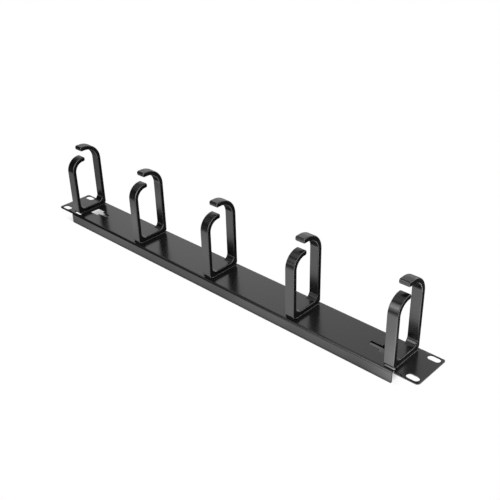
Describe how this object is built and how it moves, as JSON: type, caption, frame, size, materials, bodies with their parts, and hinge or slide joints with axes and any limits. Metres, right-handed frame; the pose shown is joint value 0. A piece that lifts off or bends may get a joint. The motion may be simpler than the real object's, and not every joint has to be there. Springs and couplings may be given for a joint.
{
  "type": "rack cable management panel",
  "caption": "Folded sheet-steel rack panel with slotted ears and return flanges, carrying a row of upright open moulded rings that guide patch cables.",
  "frame": {"origin": "middle of the four rack slots, on the back face of the two ears", "axes": "+X along the panel, +Y across it (the closed back arms of the rings are on this side), +Z out of the panel face, the way the rings stand and a cable hand comes from"},
  "size_m": [0.482, 0.0434, 0.0888],
  "materials": {
    "panel_paint": "satin black powder coat on sheet steel",
    "ring_plastic": "moulded black plastic, satin, lightly polished on the rounded edges"
  },
  "bodies": {
    "root": {"panel": "panel_paint", "ring_1": "ring_plastic", "ring_2": "ring_plastic", "ring_3": "ring_plastic", "ring_4": "ring_plastic", "ring_5": "ring_plastic"}
  },
  "joints": []
}
